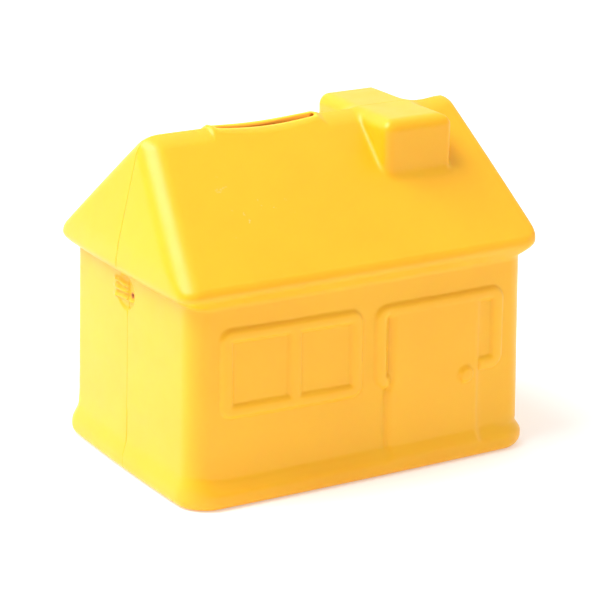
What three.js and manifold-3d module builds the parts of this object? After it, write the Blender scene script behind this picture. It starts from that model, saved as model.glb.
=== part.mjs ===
// House-shaped money box: two hollow half shells that meet on the centre plane,
// and a soft round stopper pushed into the base. Millimetres, +Z up.
// X runs along the ridge, -Y is the side with the door, the origin is the centre of the footprint.
import * as THREE from 'three';
import { mergeVertices } from 'three/addons/utils/BufferGeometryUtils.js';
import Module from 'manifold-3d';

// ---- Driving dimensions ----
const WALL = 1.6;                 // thickness of the moulded wall
const SEAM_GAP = 0.3;             // between the two halves, and between the stopper and its hole
const END_CROWN = 0.9;            // how far the gable ends bow outwards
const SIDE_CROWN = 0.6;           // how far the long walls bow outwards

const WALL_TOP = { z: 52.4, halfLength: 51.4, halfWidth: 34.3 };
const WALL_FOOT = { z: 8, halfLength: 52.1, halfWidth: 34.7 };
const CORNER_RADIUS = 5.5;
const EAVE = { z: 59.9, halfLength: 55, halfWidth: 36.9, radius: 4 };
const PLINTH = { halfLength: 53.3, halfWidth: 37.4, radius: 7 };
const RIDGE = { z: 92.7, halfLength: 46.8, halfWidth: 3 };

const RECESS = { halfLength: 45.5, halfWidth: 28.5, radius: 8, depth: 2.6 };
const SLOT = { x: -11.5, length: 31, width: 3.2, sag: 1.3 };
const CHIMNEY = { xLow: 15.8, xHigh: 36.3, yFront: -18.7, yRear: 19.8, top: 92.7, edge: 2.4 };
const NEEDLE_MARK = { y: 1.2, z: 50.3, radius: 4.7, depth: 0.8 };

const RELIEF_FACE = -36.0;        // y of the raised window bars
const DOOR_FACE = -35.8;
const BAR = 3.6;                  // width of the raised bars
const FRONT_WINDOW = { x0: -43.7, x1: -1.2, z0: 24, z1: 48.4 };
const SHOP_WINDOW = { x0: 3.2, x1: 44.5, z0: 24.4, z1: 47.8 };
const DOOR = { x0: 7.4, x1: 36, z0: 5, z1: 44.6 };
const KNOB = { x: 32, z: 24.2, radius: 2.4, height: 0.8 };
const REAR_WINDOWS = [{ x0: -43.5, x1: -1, z0: 23.8, z1: 48.2 }, { x0: 1, x1: 43.5, z0: 23.8, z1: 48.2 }];

const STOPPER = { holeRadius: 14, flangeRadius: 16.5, flange: 1.5, top: 10.6, wall: 1.5, grip: 15 };

const YELLOW = 0xffc93a;

// ---- Helpers ----
const wasm = await Module();
wasm.setup();

function solid(geometry, matrix) {
  const bare = geometry.clone();
  bare.deleteAttribute('normal');
  bare.deleteAttribute('uv');
  if (matrix) bare.applyMatrix4(matrix);
  const merged = mergeVertices(bare, 1e-5);
  const mesh = new wasm.Mesh({
    numProp: 3,
    vertProperties: new Float32Array(merged.attributes.position.array),
    triVerts: new Uint32Array(merged.index.array),
  });
  return new wasm.Manifold(mesh);
}

function geometryOf(manifold) {
  const mesh = manifold.getMesh();
  const geometry = new THREE.BufferGeometry();
  geometry.setAttribute('position', new THREE.BufferAttribute(new Float32Array(mesh.vertProperties), 3));
  geometry.setIndex(new THREE.BufferAttribute(new Uint32Array(mesh.triVerts), 1));
  geometry.computeVertexNormals();
  return geometry;
}

// A rectangle with round corners, seen from above, whose sides bow outwards.
function outline({ halfLength, halfWidth, radius, endCrown = END_CROWN, sideCrown = SIDE_CROWN }) {
  const r = Math.min(radius, halfWidth, halfLength);
  const arcSteps = 5;
  const points = [];
  const corners = [[1, 1, 0], [-1, 1, 1], [-1, -1, 2], [1, -1, 3]];
  corners.forEach(([sx, sy, quarter], index) => {
    for (let i = 0; i <= arcSteps; i++) {
      const angle = (quarter + i / arcSteps) * Math.PI / 2;
      points.push([sx * (halfLength - r) + r * Math.cos(angle), sy * (halfWidth - r) + r * Math.sin(angle)]);
    }
    const [nx, ny] = corners[(index + 1) % 4];
    const sideSteps = index % 2 === 0 ? 6 : 4;
    const start = points[points.length - 1];
    const turn = (quarter + 1) * Math.PI / 2;
    const end = [nx * (halfLength - r) + r * Math.cos(turn), ny * (halfWidth - r) + r * Math.sin(turn)];
    for (let i = 1; i < sideSteps; i++) {
      const t = i / sideSteps;
      points.push([start[0] + (end[0] - start[0]) * t, start[1] + (end[1] - start[1]) * t]);
    }
  });
  return points.map(([x, y]) => [
    x * (1 + endCrown / halfLength * (1 - (y / halfWidth) ** 2)),
    y * (1 + sideCrown / halfWidth * (1 - (x / halfLength) ** 2)),
  ]);
}

// A closed solid through a stack of outlines, lowest first.
function loft(sections) {
  const rings = sections.map((section) => outline(section).map(([x, y]) => [x, y, section.z]));
  const count = rings[0].length;
  const vertices = rings.flat();
  const index = [];
  for (let ring = 0; ring + 1 < rings.length; ring++) {
    for (let i = 0; i < count; i++) {
      const a = ring * count + i;
      const b = ring * count + (i + 1) % count;
      index.push(a, b, b + count, a, b + count, a + count);
    }
  }
  const low = vertices.push([0, 0, sections[0].z]) - 1;
  const high = vertices.push([0, 0, sections[sections.length - 1].z]) - 1;
  const last = (rings.length - 1) * count;
  for (let i = 0; i < count; i++) {
    const next = (i + 1) % count;
    index.push(low, next, i, high, last + i, last + next);
  }
  const geometry = new THREE.BufferGeometry();
  geometry.setAttribute('position', new THREE.BufferAttribute(new Float32Array(vertices.flat()), 3));
  geometry.setIndex(index);
  return solid(geometry);
}

function box(x0, x1, y0, y1, z0, z1) {
  const place = new THREE.Matrix4().makeTranslation((x0 + x1) / 2, (y0 + y1) / 2, (z0 + z1) / 2);
  return solid(new THREE.BoxGeometry(x1 - x0, y1 - y0, z1 - z0), place);
}

function roundBar(radius, length, axis, x, y, z, segments = 32) {
  const place = new THREE.Matrix4().makeTranslation(x, y, z);
  if (axis === 'x') place.multiply(new THREE.Matrix4().makeRotationZ(Math.PI / 2));
  if (axis === 'z') place.multiply(new THREE.Matrix4().makeRotationX(Math.PI / 2));
  return solid(new THREE.CylinderGeometry(radius, radius, length, segments), place);
}

// A wall section: the flare adds to both half sizes.
function wallSection(z, flare, radius = CORNER_RADIUS) {
  const t = (z - WALL_FOOT.z) / (WALL_TOP.z - WALL_FOOT.z);
  return {
    z,
    halfLength: THREE.MathUtils.lerp(WALL_FOOT.halfLength, WALL_TOP.halfLength, t) + flare,
    halfWidth: THREE.MathUtils.lerp(WALL_FOOT.halfWidth, WALL_TOP.halfWidth, t) + flare * 0.75,
    radius,
  };
}

// A roof section at a share t of the way from the eave to the ridge, drawn in by inset.
function roofSection(t, inset = 0) {
  const fade = 1 - t;
  return {
    z: THREE.MathUtils.lerp(EAVE.z, RIDGE.z - 1.1, t),
    halfLength: THREE.MathUtils.lerp(EAVE.halfLength, RIDGE.halfLength + 0.5, t) - inset,
    halfWidth: THREE.MathUtils.lerp(EAVE.halfWidth, RIDGE.halfWidth, t) - inset * 1.4,
    radius: THREE.MathUtils.lerp(EAVE.radius, 2, t),
    sideCrown: SIDE_CROWN * fade,
  };
}

// ---- Hollow body ----
function outerBody() {
  const plinth = (z, inset) => ({
    z, halfLength: PLINTH.halfLength - inset, halfWidth: PLINTH.halfWidth - inset, radius: PLINTH.radius,
  });
  const crest = { ...roofSection(1), z: RIDGE.z, halfWidth: 0.9, halfLength: RIDGE.halfLength - 0.6, radius: 0.9 };
  const shoulder = { ...roofSection(1), z: RIDGE.z - 0.4, halfWidth: 1.8, halfLength: RIDGE.halfLength, radius: 1.8 };
  return loft([
    plinth(0, 1.8), plinth(0.7, 0.7), plinth(2.4, 0), plinth(4.2, 0.1), plinth(6, 1.2),
    wallSection(WALL_FOOT.z, 0), wallSection(WALL_TOP.z, 0), wallSection(54.2, 0.7), wallSection(56.2, 2.0),
    wallSection(57.8, 2.9, EAVE.radius), { ...roofSection(0), z: EAVE.z - 1.4 }, { ...roofSection(0), z: EAVE.z - 0.2 },
    roofSection(0.03, 0.3), roofSection(0.5), roofSection(1), shoulder, crest,
  ]);
}

function cavity() {
  const inner = (section, inset) => ({
    ...section, halfLength: section.halfLength - inset, halfWidth: section.halfWidth - inset,
    radius: Math.max(section.radius - inset, 0.8),
  });
  const roofInset = 1.75;
  return loft([
    { ...inner(wallSection(WALL_FOOT.z, 0), WALL + 0.4), z: WALL }, inner(wallSection(WALL_FOOT.z, 0), WALL),
    inner(wallSection(WALL_TOP.z, 0), WALL), inner(wallSection(56.4, 1.5), WALL),
    { ...roofSection(0, roofInset), z: EAVE.z - 0.6 }, roofSection(0.5, roofInset),
    { ...roofSection(0.985, 0), z: RIDGE.z - 2.3, halfLength: RIDGE.halfLength - WALL, halfWidth: 1, radius: 1 },
  ]);
}

// The raised panel of the base; grow adds the wall thickness for its inner face.
function basePanel(grow) {
  const { halfLength, halfWidth, radius, depth } = RECESS;
  const flat = { endCrown: 0, sideCrown: 0, radius: radius + grow };
  return loft([
    { z: -1, halfLength: halfLength + 0.6 + grow, halfWidth: halfWidth + 0.6 + grow, ...flat },
    { z: depth + grow, halfLength: halfLength + grow, halfWidth: halfWidth + grow, ...flat },
  ]);
}

function chimney(inset) {
  const { xLow, xHigh, yFront, yRear, top, edge } = CHIMNEY;
  const shape = new THREE.Shape();
  const x0 = xLow + inset;
  const x1 = xHigh - inset;
  const y0 = yFront + inset;
  const y1 = yRear - inset;
  const r = Math.max(edge - inset, 0.8);
  shape.moveTo(x0 + r, y0);
  shape.lineTo(x1 - r, y0);
  shape.absarc(x1 - r, y0 + r, r, -Math.PI / 2, 0);
  shape.absarc(x1 - r, y1 - r, r, 0, Math.PI / 2);
  shape.absarc(x0 + r, y1 - r, r, Math.PI / 2, Math.PI);
  shape.absarc(x0 + r, y0 + r, r, Math.PI, Math.PI * 1.5);
  const low = 70;
  const bevel = Math.max(edge * 0.8 - inset, 0.4);
  const straight = new THREE.ExtrudeGeometry(shape, {
    depth: top - inset - bevel - low, bevelEnabled: true, bevelThickness: bevel, bevelSize: bevel,
    bevelOffset: -bevel, bevelSegments: 3, curveSegments: 4,
  });
  return solid(straight, new THREE.Matrix4().makeTranslation(0, 0, low));
}

function windowBars({ x0, x1, z0, z1 }, side, face, mullion = true) {
  const depth = 4;
  const y = (low) => (side < 0 ? [face, face + depth] : [-face - depth, -face])[low];
  let bars = box(x0, x1, y(0), y(1), z0, z1);
  const middle = (x0 + x1) / 2;
  const panes = mullion ? [[x0 + BAR, middle - BAR * 0.6], [middle + BAR * 0.6, x1 - BAR]] : [[x0 + BAR, x1 - BAR]];
  for (const [left, right] of panes) {
    bars = bars.subtract(box(left, right, y(0) - 1, y(1) + 1, z0 + BAR, z1 - BAR));
  }
  return bars;
}

function frontRelief() {
  const door = box(DOOR.x0, DOOR.x1, DOOR_FACE, DOOR_FACE + 4, DOOR.z0, DOOR.z1);
  const knob = roundBar(KNOB.radius, KNOB.height + 2, 'y', KNOB.x, DOOR_FACE + 1 - KNOB.height / 2, KNOB.z, 20);
  const shop = windowBars(SHOP_WINDOW, -1, RELIEF_FACE, false)
    .subtract(box(DOOR.x0, DOOR.x1, RELIEF_FACE - 1, RELIEF_FACE + 5, 0, DOOR.z1));
  return windowBars(FRONT_WINDOW, -1, RELIEF_FACE).add(shop).add(door).add(knob);
}

function rearRelief() {
  return REAR_WINDOWS.reduce((sum, frame) => {
    const bars = windowBars(frame, 1, RELIEF_FACE);
    return sum ? sum.add(bars) : bars;
  }, null);
}

function hollowHouse() {
  const hollow = cavity().add(chimney(WALL)).subtract(basePanel(WALL));
  const dishRadius = (SLOT.length / 2 + 3) ** 2 / (2 * SLOT.sag);
  const dish = roundBar(dishRadius, 12, 'y', SLOT.x, 0, RIDGE.z - SLOT.sag + dishRadius, 192);
  const slot = box(SLOT.x - SLOT.length / 2, SLOT.x + SLOT.length / 2, -SLOT.width / 2, SLOT.width / 2, 84, 99);
  const { y, z, radius, depth } = NEEDLE_MARK;
  const gableX = -(WALL_TOP.halfLength + END_CROWN);
  const mark = roundBar(radius, depth * 2, 'x', gableX, y, z, 24);
  return outerBody().add(chimney(0)).add(frontRelief()).add(rearRelief())
    .subtract(dish).subtract(slot).subtract(mark).subtract(basePanel(0)).subtract(hollow)
    .subtract(roundBar(STOPPER.holeRadius, 12, 'z', 0, 0, 3, 48));
}

// ---- Stopper: flange, hollow plug and a grip bar inside the plug ----
function stopper() {
  const { holeRadius, flangeRadius, flange, top, wall, grip } = STOPPER;
  const seat = RECESS.depth - SEAM_GAP;
  const plug = holeRadius - SEAM_GAP;
  const profile = [
    [plug - wall, seat - flange], [flangeRadius - 0.5, seat - flange], [flangeRadius, seat - flange + 0.5],
    [flangeRadius, seat], [plug, seat], [plug, top - 1.4], [plug - 1.2, top], [0, top], [0, top - wall],
    [plug - wall, top - wall],
  ].map(([radius, height]) => new THREE.Vector2(radius, height));
  const cup = solid(new THREE.LatheGeometry([...profile, profile[0]], 48),
    new THREE.Matrix4().makeRotationX(Math.PI / 2));
  const bar = box(-grip / 2 - 5, grip / 2 + 5, -1, 1, seat - flange + 0.4, top - wall / 2);
  return cup.add(bar);
}

// ---- Assembly ----
function named(name, manifold) {
  const material = new THREE.MeshStandardMaterial({ color: YELLOW, roughness: 0.38, metalness: 0 });
  const mesh = new THREE.Mesh(geometryOf(manifold), material);
  mesh.name = name;
  return mesh;
}

const house = hollowHouse();
const reach = 100;
const half = SEAM_GAP / 2;
const group = new THREE.Group();
group.add(named('front_shell', house.intersect(box(-reach, reach, -reach, -half, -reach, reach))));
group.add(named('rear_shell', house.intersect(box(-reach, reach, half, reach, -reach, reach))));
group.add(named('base_stopper', stopper()));

export default group;
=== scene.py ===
"""A house-shaped money box of yellow moulded plastic: two hollow half shells and a base stopper.

The shells and the stopper are described as distance fields in millimetres, turned into meshes
of quads, and placed in the frame's metres. X runs along the ridge, -Y is the side with the door.
"""

import math
from types import SimpleNamespace as Sizes

import bpy
import numpy as np
from mathutils import Matrix, Vector


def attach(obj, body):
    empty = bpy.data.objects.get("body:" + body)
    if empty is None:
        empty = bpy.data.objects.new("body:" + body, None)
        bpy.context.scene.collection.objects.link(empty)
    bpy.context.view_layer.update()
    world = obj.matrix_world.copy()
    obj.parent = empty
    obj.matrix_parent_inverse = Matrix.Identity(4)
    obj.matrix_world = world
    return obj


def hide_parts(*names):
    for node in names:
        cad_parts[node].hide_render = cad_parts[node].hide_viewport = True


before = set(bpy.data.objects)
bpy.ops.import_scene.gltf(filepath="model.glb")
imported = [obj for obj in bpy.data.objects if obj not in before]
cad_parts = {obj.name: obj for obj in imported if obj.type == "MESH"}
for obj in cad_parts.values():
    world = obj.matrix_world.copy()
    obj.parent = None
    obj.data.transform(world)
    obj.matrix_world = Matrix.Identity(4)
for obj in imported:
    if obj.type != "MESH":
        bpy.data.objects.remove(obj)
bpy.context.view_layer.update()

MM = 0.001

# ---- Sizes of the house in millimetres; lengths and widths are measured from the middle ----
WALL = 1.6
FLOOR_TOP = 4.2                         # the inner face of the base
FLOOR_CORNER = 1.0                      # radius between that face and the walls
END_CROWN = 0.9                         # how far the gables bow outwards
SIDE_CROWN = 0.6                        # the same for the long walls
ROOF_CROWN = 0.35                       # the same for the roof slopes, just above the eave
WALL_FOOT = Sizes(z=7.6, length=52.25, width=34.7)
WALL_TOP = Sizes(z=52.4, length=51.55, width=34.3)
WALL_CORNER = 5.5                       # radius of the upright corners
END_ZONE = Sizes(start=42.0, end=51.0)  # where along x the foot takes the shape that it has on a gable
FOOT_FLARE = Sizes(start=8.0, start_left=9.4, full=3.7, length=1.3, width=2.8)
FOOT_SWEEP = Sizes(start=14.0, full=1.0, share=0.35)    # a slower flare, mixed in except at the right end
FOOT_CORNER = Sizes(more=2.2, blend=5.0)                # what the flare adds to the radius in front
END_EAVE = Sizes(start=55.0, full=59.3)
SIDE_EAVE = Sizes(start=53.6, full=58.9, width=2.6)
EAVE_CORNER = 0.8                       # what the overhang takes off the corner radius
EAVE = Sizes(z=59.9, width=36.9, ends=(55.3, 55.0))
RIDGE = Sizes(z=92.4, width=2.6, ends=(47.6, 46.0))
RIM_RADIUS = 1.1
HIP = Sizes(rear_eave=3.6, rear_ridge=5.8, front=5.6, right=1.6)
HIP_BLEND = Sizes(x=20.0, y=3.0)
BASE = Sizes(radius=2.4, corner_radius=3.6, corner_zone=(1.92, 2.06))
RECESS = Sizes(length=45.5, width=28.5, radius=8.0, depth=2.6, draft=0.2, edge=0.6)
HOLE = Sizes(radius=14.0, top=9.0, edge=0.35)

# The chimney's plan is drawn at its length and stretched to its front and rear lengths.
CHIMNEY = Sizes(x=26.1, front=-18.7, rear=19.8, length=10.0, front_length=10.5, rear_length=9.5)
CHIMNEY_RADIUS = Sizes(left_front=2.6, left_rear=3.0, right=1.4, fillet=1.2)

# A pair is where something starts to fade in and where it is full.
CREST = Sizes(z=92.8, radius=3.4, right_radius=2.0, right_zone=(39.0, 45.0))
SLOT = Sizes(x=-11.5, length=15.5, width=1.6, corner=1.5, bottom=80.0)
SLOT_EDGE = {"front": 0.5, "rear": 1.4}
LIPS = Sizes(length=16.5, width=1.5, sag=1.2, end_rise=1.55, tilt=0.15, rear_rise=0.3, radius=1.3)
LIP_SKEW = Sizes(middle=0.12, along=0.15)               # how the rear lip differs from the front one
LIP_ZONE = Sizes(left=(-29.4, -27.8), right=(6.2, 3.4), side=(7.0, 5.0))
SLOT_HEART = 90.0                       # height around which the slot's inner faces get a painted glow, standing in for light through the wall

SEAM = Sizes(plane=-0.015, faint=0.03, gable=0.13, low=0.17)            # its place and edge radii
SEAM_ZONE = Sizes(end=(44.0, 49.0), foot=(5.0, 8.0), top=(92.0, 84.0))
SEAM_LOW_ZONE = Sizes(foot=(6.5, 8.5), top=(18.5, 16.5))
SCUFFS = (-27.0, -20.0, 75.5)           # where the front roof slope has small scuffs

FACING = {"front": 1.0, "rear": -1.0}


# ---- Field helpers: negative inside, positive outside ----
def lerp(low, high, share):
    return low + (high - low) * share


def ease(start, end, value):
    share = np.clip((value - start) / (end - start), 0.0, 1.0)
    return share * share * (3.0 - 2.0 * share)


def bulge(height, share):
    """A parabola, full at zero and nothing from one on."""
    return height * np.clip(1.0 - share ** 2, 0.0, 1.0)


def by_end(x, ends):
    """The left value or the right one."""
    return np.where(x < 0.0, ends[0], ends[1])


def round_and(a, b, radius):
    """What two solids share, with its outer edge rounded."""
    corner = np.hypot(np.maximum(radius + a, 0.0), np.maximum(radius + b, 0.0))
    return np.minimum(-radius, np.maximum(a, b)) + corner


def round_or(a, b, radius):
    """Two solids together, with a fillet between them."""
    corner = np.hypot(np.maximum(radius - a, 0.0), np.maximum(radius - b, 0.0))
    return np.maximum(radius, np.minimum(a, b)) - corner


def round_rect(a, b, half_a, half_b, radius):
    qa = np.abs(a) - (half_a - radius)
    qb = np.abs(b) - (half_b - radius)
    outer = np.hypot(np.maximum(qa, 0.0), np.maximum(qb, 0.0))
    return outer + np.minimum(np.maximum(qa, qb), 0.0) - radius


# ---- The outside of the house ----
def wall_size(x, z):
    """Half length, half width and corner radius of the walls at a height."""
    share = (z - WALL_FOOT.z) / (WALL_TOP.z - WALL_FOOT.z)
    right_end = ease(END_ZONE.start, END_ZONE.end, x)
    past_left_end = ease(-END_ZONE.end, -END_ZONE.start, x)
    start = lerp(FOOT_FLARE.start_left, FOOT_FLARE.start, past_left_end) - right_end
    sweep = ease(FOOT_SWEEP.start, FOOT_SWEEP.full, z)
    foot = lerp(ease(start, FOOT_FLARE.full, z), sweep, FOOT_SWEEP.share * (1.0 - right_end))
    end_eave = np.clip((z - END_EAVE.start) / (END_EAVE.full - END_EAVE.start), 0.0, 1.0)
    end_eave = end_eave * (2.0 - end_eave)
    side_eave = ease(SIDE_EAVE.start, SIDE_EAVE.full, z)
    length = lerp(WALL_FOOT.length, WALL_TOP.length, share) + FOOT_FLARE.length * foot
    length = length + (lerp(*EAVE.ends, x > 0.0) - WALL_TOP.length) * end_eave
    width = lerp(WALL_FOOT.width, WALL_TOP.width, share) + FOOT_FLARE.width * foot
    width = width + SIDE_EAVE.width * side_eave
    return length, width, WALL_CORNER + foot - EAVE_CORNER * end_eave


def walls(x, y, z, relief):
    """The walls, pushed out by the relief; the slope keeps distances true where they lean."""
    nudge = 0.05
    length, width, radius = wall_size(x, z)
    slope = (wall_size(x, z + nudge)[0] - wall_size(x, z - nudge)[0]) / (2.0 * nudge)
    px = np.abs(x) - bulge(END_CROWN, y / width)
    py = np.abs(y) - bulge(SIDE_CROWN, x / length)
    in_front = ease(FOOT_CORNER.blend, -FOOT_CORNER.blend, y)
    radius = radius + FOOT_CORNER.more * ease(FOOT_FLARE.start, FOOT_FLARE.full, z) * in_front
    distance = round_rect(px, py, length, width, radius)
    return (distance - relief) / np.sqrt(1.0 + slope * slope)


def roof(x, y, z):
    """Two slopes and two leaning gable ends, which meet in rounded hips."""
    rise = RIDGE.z - EAVE.z
    run = EAVE.width - RIDGE.width
    share = (z - EAVE.z) / rise
    eave_end = by_end(x, EAVE.ends)
    end_run = eave_end - by_end(x, RIDGE.ends)
    crown = bulge(ROOF_CROWN, x / eave_end) * np.clip(1.0 - share, 0.0, 1.0)
    slope = ((np.abs(y) - EAVE.width) * rise + (z - EAVE.z) * run) / math.hypot(run, rise) - crown
    bow = bulge(END_CROWN, y / EAVE.width)
    end = ((np.abs(x) - bow - eave_end) * rise + (z - EAVE.z) * end_run) / np.hypot(end_run, rise)
    left = lerp(HIP.rear_eave, HIP.rear_ridge, np.clip(share, 0.0, 1.0))
    left = lerp(HIP.front, left, ease(-HIP_BLEND.y, HIP_BLEND.y, y))
    return round_and(slope, end, lerp(left, HIP.right, ease(-HIP_BLEND.x, HIP_BLEND.x, x)))


def crest(x, y):
    """Height and edge radius of the top, which sags along the coin slot."""
    along = (x - SLOT.x) / LIPS.length
    side = np.clip(y / LIPS.width, -1.0, 1.0)
    lips = -LIPS.sag + LIPS.end_rise * along ** 2 + LIPS.tilt * along
    lips = lips + (LIP_SKEW.middle + LIP_SKEW.along * along) * side
    lips = lips + LIPS.rear_rise * np.maximum(side, 0.0)
    by_slot = ease(*LIP_ZONE.left, x) * ease(*LIP_ZONE.right, x) * ease(*LIP_ZONE.side, np.abs(y))
    radius = lerp(CREST.radius, CREST.right_radius, ease(*CREST.right_zone, x))
    return CREST.z + lips * by_slot, lerp(radius, LIPS.radius, by_slot)


def chimney(x, y):
    """The plan of the chimney, which narrows a little towards the rear."""
    middle_y = (CHIMNEY.front + CHIMNEY.rear) / 2.0
    reach_y = CHIMNEY.rear - middle_y
    share = (y - CHIMNEY.front) / (2.0 * reach_y)
    half = lerp(CHIMNEY.front_length, CHIMNEY.rear_length, share)
    left = np.where(y < middle_y, CHIMNEY_RADIUS.left_front, CHIMNEY_RADIUS.left_rear)
    edge = np.where(x < CHIMNEY.x, left, CHIMNEY_RADIUS.right)
    across = (x - CHIMNEY.x) * CHIMNEY.length / half
    return round_rect(across, y - middle_y, CHIMNEY.length, reach_y, edge)


def body(x, y, z, relief=0.0):
    shape = round_and(walls(x, y, z, relief), roof(x, y, z), RIM_RADIUS)
    shape = round_or(shape, chimney(x, y), CHIMNEY_RADIUS.fillet)
    height, radius = crest(x, y)
    shape = round_and(shape, z - height, radius)
    corner = ease(*BASE.corner_zone, np.abs(x) / WALL_FOOT.length + np.abs(y) / WALL_FOOT.width)
    return round_and(shape, -z, lerp(BASE.radius, BASE.corner_radius, corner))


# ---- Raised windows and door: how far they stand out of the wall ----
BAR = Sizes(half=2.0, height=0.85, power=3.4, shoulder=0.7, flat=0.3)
MULLION = Sizes(half=2.05, shift=0.8, end_slope=4.0, overlap=0.2)
FRAME_CORNER = 1.6
FRONT_WINDOW = Sizes(x=(-44.0, -0.9), z=(24.1, 48.7), tilt=0.0155)
REAR_LEFT_WINDOW = Sizes(x=(-43.5, -1.0), z=(24.0, 48.5), tilt=0.0)
REAR_RIGHT_WINDOW = Sizes(x=(1.0, 43.5), z=(24.0, 48.5), tilt=0.0)
SIDE_WINDOW = Sizes(x=(2.8, 44.3), z=(24.2, 47.9), corner=2.0)
SIDE_WINDOW_HIDDEN = Sizes(left=(7.0, 8.0), right=(36.9, 35.7), top=(43.6, 41.6))
SIDE_WINDOW_PROUD = Sizes(left=(8.0, 12.0), right=(36.0, 32.0), factor=1.08)    # over the door
DOOR = Sizes(height=0.8, left=5.8, soft=2.4, right=(37.3, 34.9), top=(47.6, 45.6), foot=(3.0, 7.0))
DOOR_STEP = Sizes(zone=(22.0, 27.0), shift=1.5)         # the left edge is further in beside the window
KNOB = Sizes(x=32.0, z=24.2, radius=2.7, height=0.9, dome=0.7)
GROOVE = Sizes(depth=0.4, half=0.6, shift=0.4, less=0.5, top=(46.5, 44.5), foot=(6.0, 9.0))
RELIEF_ZONE = (-31.0, -33.0)            # y between which the relief comes in, so that it skips the gables


def rope(distance, half=BAR.half):
    """A rounded bar along the line where distance is zero."""
    share = np.clip(1.0 - np.abs(distance / half) ** BAR.power, 0.0, 1.0)
    return BAR.height * share * lerp(BAR.shoulder, 1.0, ease(0.0, BAR.flat, share))


def frame_line(x, z, window, radius):
    """Distance to the middle line of a window's frame, negative inside it."""
    x0, x1 = window.x
    z0, z1 = window.z
    half_x = (x1 - x0) / 2.0 - BAR.half
    half_z = (z1 - z0) / 2.0 - BAR.half
    return round_rect(x - (x0 + x1) / 2.0, z - (z0 + z1) / 2.0, half_x, half_z, radius)


def double_window(x, z, window):
    """A frame with a mullion; its tilt lowers the right end."""
    x0, x1 = window.x
    z = z + window.tilt * (x - x0)
    line = frame_line(x, z, window, FRAME_CORNER)
    past_frame = np.maximum(line, 0.0) * MULLION.end_slope
    mullion = np.maximum(np.abs(x - (x0 + x1) / 2.0 - MULLION.shift), past_frame)
    return np.maximum(rope(line), rope(mullion, MULLION.half) * (line < MULLION.overlap))


def side_window(x, z):
    """The window that the door partly covers: its bars stop at the door, but run on above it."""
    hidden = ease(*SIDE_WINDOW_HIDDEN.left, x) * ease(*SIDE_WINDOW_HIDDEN.right, x)
    hidden = hidden * ease(*SIDE_WINDOW_HIDDEN.top, z)
    proud = ease(*SIDE_WINDOW_PROUD.left, x) * ease(*SIDE_WINDOW_PROUD.right, x)
    bars = rope(frame_line(x, z, SIDE_WINDOW, SIDE_WINDOW.corner))
    return bars * (1.0 - hidden) * lerp(1.0, SIDE_WINDOW_PROUD.factor, proud)


def front_relief(x, z):
    step = ease(*DOOR_STEP.zone, z)
    left = DOOR.left + DOOR_STEP.shift * step
    door = DOOR.height * ease(left, left + DOOR.soft, x) * ease(*DOOR.right, x)
    door = door * ease(*DOOR.top, z) * ease(*DOOR.foot, z)
    knob = np.clip(1.0 - ((x - KNOB.x) ** 2 + (z - KNOB.z) ** 2) / KNOB.radius ** 2, 0.0, 1.0)
    knob = KNOB.height * ease(0.0, KNOB.dome, knob)
    crease = left + GROOVE.shift - GROOVE.less * step
    groove = GROOVE.depth * np.exp(-((x - crease) / GROOVE.half) ** 2)
    groove = groove * ease(*GROOVE.top, z) * ease(*GROOVE.foot, z)
    raised = np.maximum(side_window(x, z), door + knob)
    return np.maximum(double_window(x, z, FRONT_WINDOW), raised) - groove


def rear_relief(x, z):
    return np.maximum(double_window(x, z, REAR_LEFT_WINDOW), double_window(x, z, REAR_RIGHT_WINDOW))


# ---- The needle mark: a torn dimple on the left gable, where the blowing needle went in ----
MARK = Sizes(y=1.2, z=50.3, half_y=5.2, half_z=4.7, rim=0.12)
MARK_DEPTH = Sizes(least=0.35, more=0.4, zone=(0.7, -0.7))
FLAPS = ((52.3, 1.0, 0.10), (50.5, 1.15, 0.02), (48.6, 1.0, -0.06))     # height, lift and drift upwards
FLAP = Sizes(half=0.5, from_y=1.8, wave=0.1, wave_rate=1.1, left=(-1.0, 0.8), right=(8.6, 5.4))
TONGUE = Sizes(y=-1.9, z=48.4, half_y=1.6, half_z=0.5, lift=1.0, soft=0.2)
PIT = Sizes(x=-52.0, y=-1.6, z=49.9, radius=0.42, bottom=-51.2, edge=0.25)


def needle_mark(x, y, z):
    u = (y - MARK.y) / MARK.half_y
    v = (z - MARK.z) / MARK.half_z
    disc = 1.0 - u * u - v * v
    dimple = (MARK_DEPTH.least + MARK_DEPTH.more * ease(*MARK_DEPTH.zone, u)) * ease(0.0, MARK.rim, disc)
    flaps = 0.0
    for height, lift, drift in FLAPS:
        line = height + drift * (y - FLAP.from_y) + FLAP.wave * np.sin(FLAP.wave_rate * y + height)
        share = np.exp(-((z - line) / FLAP.half) ** 2)
        flaps = flaps + lift * share * ease(*FLAP.left, y) * ease(*FLAP.right, y)
    tongue = -((y - TONGUE.y) / TONGUE.half_y) ** 2 - ((z - TONGUE.z) / TONGUE.half_z) ** 2
    tongue = TONGUE.lift * np.exp(tongue)
    return (flaps + tongue * ease(-TONGUE.soft, TONGUE.soft, disc) - dimple) * (x < 0.0)


# ---- Half shells ----
def seam_radius(x, z):
    """The parting line shows on the gables, most of all low on the left one, and fades elsewhere."""
    gable = ease(*SEAM_ZONE.end, np.abs(x)) * ease(*SEAM_ZONE.top, z)
    low = ease(*SEAM_LOW_ZONE.foot, z) * ease(*SEAM_LOW_ZONE.top, z) * (x < 0.0)
    return SEAM.faint + gable * (SEAM.gable * ease(*SEAM_ZONE.foot, z) + SEAM.low * low)


def open_base(shape, x, y, z):
    """Takes the recess round the base panel and the stopper's hole out of a shape."""
    lean = RECESS.draft * (RECESS.depth - z)
    recess = round_rect(x, y, RECESS.length + lean, RECESS.width + lean, RECESS.radius)
    recess = round_and(recess, z - RECESS.depth, RECESS.edge)
    shape = round_and(shape, -recess, RECESS.edge)
    hole = np.maximum(np.hypot(x, y) - HOLE.radius, z - HOLE.top)
    return round_and(shape, -hole, HOLE.edge)


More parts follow.
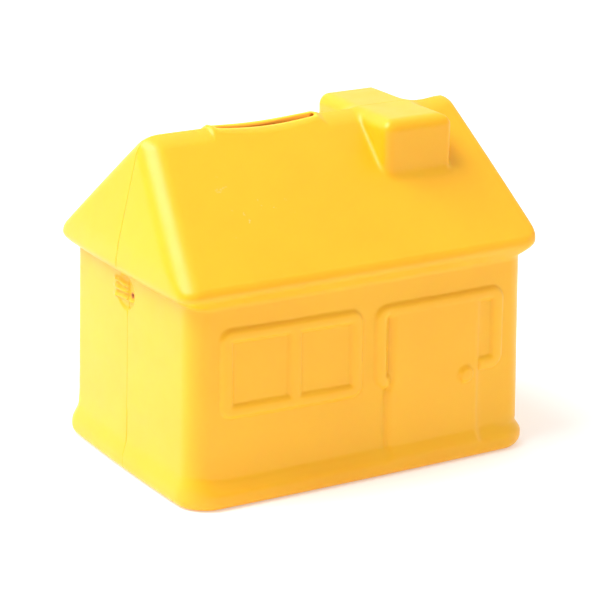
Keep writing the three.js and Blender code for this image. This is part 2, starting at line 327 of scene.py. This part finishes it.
def make_shell(side):
    """The field of one half shell, in a frame where it lies at y below zero."""
    windows = front_relief if side == "front" else rear_relief

    def field(x, y, z):
        true_y = y * FACING[side]
        relief = windows(x, z) * ease(*RELIEF_ZONE, y) + needle_mark(x, true_y, z)
        outer = body(x, true_y, z, relief)
        hollow = round_and(body(x, true_y, z) + WALL, FLOOR_TOP - z, FLOOR_CORNER)
        shape = open_base(np.maximum(outer, -hollow), x, y, z)
        slot = round_rect(x - SLOT.x, y, SLOT.length, SLOT.width, SLOT.corner)
        shape = round_and(shape, -np.maximum(slot, SLOT.bottom - z), SLOT_EDGE[side])
        pit = np.maximum(np.hypot(true_y - PIT.y, z - PIT.z) - PIT.radius, x - PIT.bottom)
        shape = round_and(shape, -pit, PIT.edge)
        return round_and(shape, y - SEAM.plane, seam_radius(x, z))

    return field


# ---- From a field to a mesh ----
def grid_lines(*spans):
    """Coordinates from spans of (start, end, wanted step)."""
    parts = []
    for start, end, step in spans:
        count = max(1, round((end - start) / step))
        parts.append(np.linspace(start, end, count, endpoint=False))
    parts.append(np.array([spans[-1][1]]))
    return np.concatenate(parts)


def polygonise(field, xs, ys, zs):
    """A closed mesh of quads with one corner in each grid cell that the surface crosses."""
    lines = (xs, ys, zs)
    value = field(xs[:, None, None], ys[None, :, None], zs[None, None, :])
    inside = value < 0.0
    cells = tuple(len(line) - 1 for line in lines)
    size = int(np.prod(cells))
    total = np.zeros((3, size))
    count = np.zeros(size)
    faces = []
    for axis in range(3):
        low = tuple(slice(0, -1) if a == axis else slice(1, -1) for a in range(3))
        high = tuple(slice(1, None) if a == axis else slice(1, -1) for a in range(3))
        where = np.nonzero(inside[low] != inside[high])
        base = [w + (0 if a == axis else 1) for a, w in enumerate(where)]
        tip = [b + (1 if a == axis else 0) for a, b in enumerate(base)]
        v0 = value[tuple(base)]
        v1 = value[tuple(tip)]
        share = v0 / (v0 - v1)
        point = [lerp(lines[a][base[a]], lines[a][tip[a]], share) for a in range(3)]
        b = (axis + 1) % 3
        c = (axis + 2) % 3
        corners = []
        for step_b, step_c in ((1, 1), (0, 1), (0, 0), (1, 0)):
            cell = list(base)
            cell[b] = cell[b] - step_b
            cell[c] = cell[c] - step_c
            flat = np.ravel_multi_index(cell, cells)
            corners.append(flat)
            count += np.bincount(flat, minlength=size)
            for a in range(3):
                total[a] += np.bincount(flat, weights=point[a], minlength=size)
        quad = np.stack(corners, 1)
        turned = ~inside[tuple(base)]
        quad[turned] = quad[turned][:, ::-1]
        faces.append(quad)
    used = np.nonzero(count)[0]
    index = np.full(size, -1)
    index[used] = np.arange(len(used))
    points = (total[:, used] / count[used]).T
    return points, index[np.concatenate(faces)]


def settle(field, points, passes=3, reach=0.25, nudge=0.02):
    """Moves points onto the surface along the field's slope."""
    least_slope = 0.05
    least_length = 1e-9
    for _ in range(passes):
        x, y, z = points.T
        here = field(x, y, z)
        slope = np.stack([
            field(x + nudge, y, z) - field(x - nudge, y, z),
            field(x, y + nudge, z) - field(x, y - nudge, z),
            field(x, y, z + nudge) - field(x, y, z - nudge),
        ], 1) / (2.0 * nudge)
        step = here[:, None] * slope / np.maximum((slope ** 2).sum(1), least_slope)[:, None]
        length = np.linalg.norm(step, axis=1)
        points = points - step * np.minimum(1.0, reach / np.maximum(length, least_length))[:, None]
    return points


def mesh_object(name, points, faces):
    mesh = bpy.data.meshes.new(name)
    mesh.vertices.add(len(points))
    mesh.vertices.foreach_set("co", (points * MM).astype(np.float32).ravel())
    mesh.loops.add(faces.size)
    mesh.loops.foreach_set("vertex_index", faces.astype(np.int32).ravel())
    mesh.polygons.add(len(faces))
    mesh.polygons.foreach_set("loop_start", np.arange(0, faces.size, faces.shape[1], dtype=np.int32))
    mesh.update(calc_edges=True)
    mesh.validate()
    mesh.shade_smooth()
    obj = bpy.data.objects.new(name, mesh)
    bpy.context.scene.collection.objects.link(obj)
    return obj


def thin_out(obj, chosen, ratio):
    """Brings the face count down to a ratio, taking faces where chosen is true for their corners."""
    group = obj.vertex_groups.new(name="thin")
    group.add(np.nonzero(chosen)[0].tolist(), 1.0, "REPLACE")
    decimate = obj.modifiers.new("thin", "DECIMATE")
    decimate.vertex_group = "thin"
    decimate.ratio = ratio
    depsgraph = bpy.context.evaluated_depsgraph_get()
    slim = bpy.data.meshes.new_from_object(obj.evaluated_get(depsgraph))
    fat = obj.data
    obj.modifiers.clear()
    obj.vertex_groups.clear()
    obj.data = slim
    slim.name = obj.name
    bpy.data.meshes.remove(fat)


# ---- Pieces ----
GRID_X = grid_lines((-57.2, 57.2, 0.57))
GRID_Y = grid_lines((-39.0, -33.6, 0.42), (-33.6, -8.0, 0.8), (-8.0, -2.4, 0.45), (-2.4, -0.6, 0.3),
                    (-0.6, -0.2, 0.2), (-0.2, 0.2, 0.1), (0.2, 0.5, 0.3))
GRID_Z = grid_lines((-0.6, 6.6, 0.4), (6.6, 22.5, 0.65), (22.5, 63.0, 0.42), (63.0, 86.0, 0.85),
                    (86.0, 94.2, 0.4))
THIN_RATIO = 0.625                      # keeps a half shell below 200 000 triangles
INNER_SHARE = 0.6                       # how deep in the wall a corner lies that counts as inside
SEAM_MARGIN = 0.8                       # the joint between the halves isn't thinned
FLOOR_MARGIN = 0.3


def build_shell(side):
    field = make_shell(side)
    points, faces = polygonise(field, GRID_X, GRID_Y, GRID_Z)
    points = settle(field, points)
    points[:, 1] *= FACING[side]
    if side != "front":
        faces = faces[:, ::-1]
    shell = mesh_object(side + "_half", points, faces)
    x, y, z = points.T
    inner_face = body(x, y, z) < -WALL * INNER_SHARE
    thin_out(shell, inner_face & (z > FLOOR_TOP - FLOOR_MARGIN) & (np.abs(y) > SEAM_MARGIN), THIN_RATIO)
    return shell


FLANGE = Sizes(radius=16.4, low=0.8, top=2.3, upper_edge=0.4, lower_edge=0.5)
PLUG = Sizes(radius=13.6, low=1.0, top=10.6, taper=0.06, taper_from=4.6, edge=1.2)
PLUG_HOLLOW = Sizes(radius=12.1, top=9.1, edge=1.0, mouth=0.35)
SNAP_RING = Sizes(radius=13.3, z=5.2, half=0.5, fillet=0.4)
GRIP_BAR = Sizes(half=1.1, low=1.5, top=9.8, reach=12.9, lower_edge=0.7, upper_edge=0.3, fillet=0.6)
FLANGE_BEAD = Sizes(radius=14.7, z=0.8, half=0.35, fillet=0.3)
STOPPER_SIDE = grid_lines((-17.2, 17.2, 0.42))
STOPPER_UP = grid_lines((0.2, 3.0, 0.22), (3.0, 11.2, 0.42))


def ring(radial, z, sizes):
    return np.hypot(radial - sizes.radius, z - sizes.z) - sizes.half


def stopper_field(x, y, z):
    """The base stopper: a flange, a hollow plug above it and a grip bar across the plug."""
    radial = np.hypot(x, y)
    flange = round_and(radial - FLANGE.radius, z - FLANGE.top, FLANGE.upper_edge)
    flange = round_and(flange, FLANGE.low - z, FLANGE.lower_edge)
    plug = radial - PLUG.radius + PLUG.taper * np.maximum(z - PLUG.taper_from, 0.0)
    plug = np.maximum(round_and(plug, z - PLUG.top, PLUG.edge), PLUG.low - z)
    shape = round_or(np.minimum(plug, ring(radial, z, SNAP_RING)), flange, SNAP_RING.fillet)
    hollow = round_and(radial - PLUG_HOLLOW.radius, z - PLUG_HOLLOW.top, PLUG_HOLLOW.edge)
    shape = round_and(shape, -hollow, PLUG_HOLLOW.mouth)
    bar = round_and(np.abs(y) - GRIP_BAR.half, GRIP_BAR.low - z, GRIP_BAR.lower_edge)
    bar = round_and(bar, z - GRIP_BAR.top, GRIP_BAR.upper_edge)
    bar = np.maximum(bar, radial - GRIP_BAR.reach)
    shape = round_or(shape, bar, GRIP_BAR.fillet)
    return round_or(shape, ring(radial, z, FLANGE_BEAD), FLANGE_BEAD.fillet)


def build_stopper():
    points, faces = polygonise(stopper_field, STOPPER_SIDE, STOPPER_SIDE, STOPPER_UP)
    points = settle(stopper_field, points)
    return mesh_object("stopper_plug", points, faces)


# ---- Materials ----
class Surface:
    """A Principled material, and short ways to add the nodes that drive it."""

    def __init__(self, name):
        self.material = bpy.data.materials.new(name)
        self.material.use_nodes = True
        self.nodes = self.material.node_tree.nodes
        self.nodes.clear()
        self.link = self.material.node_tree.links.new
        self.shader = self.nodes.new("ShaderNodeBsdfPrincipled")
        out = self.nodes.new("ShaderNodeOutputMaterial")
        self.link(self.shader.outputs["BSDF"], out.inputs["Surface"])
        self.place = self.nodes.new("ShaderNodeTexCoord").outputs["Object"]

    def set(self, **values):
        """Sets the shader's inputs; an underscore stands for a space."""
        for key, value in values.items():
            self.shader.inputs[key.replace("_", " ")].default_value = value

    def noise(self, scale, detail):
        made = self.nodes.new("ShaderNodeTexNoise")
        made.inputs["Scale"].default_value = scale
        made.inputs["Detail"].default_value = detail
        self.link(self.place, made.inputs["Vector"])
        return made.outputs["Fac"]

    def gap_to(self, centre, weights):
        """Distance in millimetres to a point, with each axis weighted."""
        weighted = self.nodes.new("ShaderNodeVectorMath")
        weighted.operation = "MULTIPLY"
        weighted.inputs[1].default_value = [weight / MM for weight in weights]
        self.link(self.place, weighted.inputs[0])
        made = self.nodes.new("ShaderNodeVectorMath")
        made.operation = "DISTANCE"
        made.inputs[1].default_value = [value * weight for value, weight in zip(centre, weights)]
        self.link(weighted.outputs["Vector"], made.inputs[0])
        return made.outputs["Value"]

    def ranged(self, value, low, high, to_low, to_high):
        made = self.nodes.new("ShaderNodeMapRange")
        for key, number in (("From Min", low), ("From Max", high), ("To Min", to_low), ("To Max", to_high)):
            made.inputs[key].default_value = number
        self.link(value, made.inputs["Value"])
        return made.outputs["Result"]

    def product(self, first, second):
        made = self.nodes.new("ShaderNodeMath")
        made.operation = "MULTIPLY"
        self.link(first, made.inputs[0])
        self.link(second, made.inputs[1])
        return made.outputs["Value"]

    def mix(self, factor, second):
        """A colour mix; its first colour is set or linked by the caller."""
        made = self.nodes.new("ShaderNodeMix")
        made.data_type = "RGBA"
        made.inputs["B"].default_value = second
        self.link(factor, made.inputs["Factor"])
        return made

    def tint(self, colour, factor, second):
        made = self.mix(factor, second)
        self.link(colour, made.inputs["A"])
        return made.outputs["Result"]


def plastic(name, base, roughness, peel, subsurface):
    """Moulded plastic with slight flow streaks and a faint orange peel; returns its colour too."""
    surface = Surface(name)
    surface.set(IOR=1.5, Specular_IOR_Level=0.42)
    surface.set(Subsurface_Weight=subsurface, Subsurface_Radius=(1.0, 0.55, 0.12), Subsurface_Scale=0.002)
    red, green, blue = base
    streaks = surface.ranged(surface.noise(38.0, 3.0), 0.35, 0.65, 0.0, 1.0)
    flow = surface.mix(streaks, (red, green * 1.02, blue * 1.06, 1.0))
    flow.inputs["A"].default_value = (red * 0.985, green * 0.965, blue * 0.93, 1.0)
    rough = surface.ranged(surface.noise(160.0, 4.0), 0.3, 0.7, *roughness)
    surface.link(rough, surface.shader.inputs["Roughness"])
    peel_bump = surface.nodes.new("ShaderNodeBump")
    peel_bump.inputs["Strength"].default_value = peel
    peel_bump.inputs["Distance"].default_value = 0.0001
    surface.link(surface.noise(900.0, 2.0), peel_bump.inputs["Height"])
    surface.link(peel_bump.outputs["Normal"], surface.shader.inputs["Normal"])
    return surface, flow.outputs["Result"]


def body_material():
    """The body's plastic, with painted shade in the needle pit, the scuffs and a painted glow inside the
    slot.
    """
    surface, colour = plastic("body_plastic_look", (1.0, 0.485, 0.010), (0.32, 0.40), 0.10, 0.4)
    # painted shade: the pit and a thin ring round it are coloured dark brown
    pit_painted_shade = surface.ranged(surface.gap_to((PIT.x, PIT.y, PIT.z), (0.3, 1.0, 1.0)), 0.5, 1.1, 1.0, 0.0)
    colour = surface.tint(colour, pit_painted_shade, (0.42, 0.11, 0.02, 1.0))
    scuffed = surface.product(
        surface.ranged(surface.gap_to(SCUFFS, (0.7, 1.0, 0.7)), 4.0, 11.0, 1.0, 0.0),
        surface.ranged(surface.noise(420.0, 5.0), 0.66, 0.72, 0.0, 0.8))
    colour = surface.tint(colour, scuffed, (1.0, 0.62, 0.22, 1.0))
    # painted glow: emission on the slot's inner faces stands in for light coming through the wall
    slot_painted_glow = surface.product(
        surface.ranged(surface.gap_to((0.0, 0.0, SLOT_HEART), (0.0, 1.5, 0.5)), 2.9, 4.4, 0.7, 0.0),
        surface.ranged(surface.gap_to((SLOT.x, 0.0, 0.0), (1.0, 0.0, 0.0)), 15.0, 15.8, 1.0, 0.0))
    surface.set(Emission_Color=(0.9, 0.42, 0.06, 1.0))
    surface.link(slot_painted_glow, surface.shader.inputs["Emission Strength"])
    surface.link(colour, surface.shader.inputs["Base Color"])
    return surface.material


def stopper_material():
    surface, colour = plastic("stopper_plastic_look", (0.93, 0.44, 0.04), (0.42, 0.52), 0.15, 0.3)
    surface.link(colour, surface.shader.inputs["Base Color"])
    return surface.material


# ---- Build ----
front = build_shell("front")
rear = build_shell("rear")
stopper = build_stopper()

body_plastic = body_material()
stopper_plastic = stopper_material()
for piece, look, ridden, slot_name, cad in (
    (front, body_plastic, "house", "body_plastic", "front_shell"),
    (rear, body_plastic, "house", "body_plastic", "rear_shell"),
    (stopper, stopper_plastic, "stopper", "stopper_plastic", "base_stopper"),
):
    piece.data.materials.clear()
    piece.data.materials.append(look)
    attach(piece, ridden)
    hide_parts(cad)


# ---- Floor, light and camera: metres ----
def build_floor(reach=6.0):
    material = bpy.data.materials.new("floor_look")
    material.use_nodes = True
    shader = material.node_tree.nodes["Principled BSDF"]
    shader.inputs["Base Color"].default_value = (0.8, 0.8, 0.8, 1.0)
    shader.inputs["Roughness"].default_value = 0.9
    shader.inputs["Specular IOR Level"].default_value = 0.1
    shader.inputs["Emission Color"].default_value = (1.0, 1.0, 1.0, 1.0)
    shader.inputs["Emission Strength"].default_value = 0.3
    mesh = bpy.data.meshes.new("floor")
    corners = [(-reach, -reach, 0), (reach, -reach, 0), (reach, reach, 0), (-reach, reach, 0)]
    mesh.from_pydata(corners, [], [(0, 1, 2, 3)])
    mesh.materials.append(material)
    made = bpy.data.objects.new("floor", mesh)
    bpy.context.scene.collection.objects.link(made)
    return made


floor = build_floor()


def soft_light(name, toward, size, power, distance=1.2, centre=(0.0, 0.0, 0.04)):
    """A round lamp in a direction from the house, aimed at its middle."""
    data = bpy.data.lights.new(name, "AREA")
    data.shape = "DISK"
    data.size = size
    data.energy = power
    lamp = bpy.data.objects.new(name, data)
    direction = Vector(toward).normalized()
    lamp.location = Vector(centre) + direction * distance
    lamp.rotation_euler = direction.to_track_quat("Z", "Y").to_euler()
    bpy.context.scene.collection.objects.link(lamp)


soft_light("key", (-0.50, 0.15, 0.84), 0.9, 16.3)
soft_light("fill", (0.85, -0.5, 0.15), 0.6, 1.4)


def studio_surround():
    """A white surround, brightest behind and above the object and darkest behind the camera."""
    world = bpy.data.worlds.new("studio")
    bpy.context.scene.world = world
    world.use_nodes = True
    tree = world.node_tree
    lean = tree.nodes.new("ShaderNodeVectorMath")
    lean.operation = "DOT_PRODUCT"
    lean.inputs[1].default_value = (0.0, 0.66, 0.75)
    tree.links.new(tree.nodes.new("ShaderNodeTexCoord").outputs["Generated"], lean.inputs[0])
    spread = tree.nodes.new("ShaderNodeMapRange")
    for key, number in (("From Min", -1.0), ("From Max", 1.0), ("To Min", 0.06), ("To Max", 1.08)):
        spread.inputs[key].default_value = number
    tree.links.new(lean.outputs["Value"], spread.inputs["Value"])
    tree.links.new(spread.outputs["Result"], tree.nodes["Background"].inputs["Strength"])
    tree.nodes["Background"].inputs["Color"].default_value = (1.0, 1.0, 1.0, 1.0)


studio_surround()


def place_camera():
    azimuth = math.radians(-30.882)
    elevation = math.radians(18.193)
    roll = math.radians(0.725)
    distance = 0.7279
    target = Vector((0.000566, 0.0, 0.040019))
    level = math.cos(elevation)
    back = Vector((math.sin(azimuth) * level, -math.cos(azimuth) * level, math.sin(elevation)))
    right = Vector((math.cos(azimuth), math.sin(azimuth), 0.0))
    up = back.cross(right)
    turned_right = math.cos(roll) * right + math.sin(roll) * up
    turned_up = math.cos(roll) * up - math.sin(roll) * right
    data = bpy.data.cameras.new("camera")
    data.sensor_width = 36.0
    data.lens = 158.766
    data.clip_start = 0.01
    camera = bpy.data.objects.new("camera", data)
    matrix = Matrix((turned_right, turned_up, back)).transposed().to_4x4()
    matrix.translation = target + back * distance
    camera.matrix_world = matrix
    bpy.context.scene.collection.objects.link(camera)
    bpy.context.scene.camera = camera


place_camera()
bpy.context.scene.view_settings.view_transform = "Standard"
bpy.context.scene.view_settings.look = "None"

bpy.context.view_layer.update()
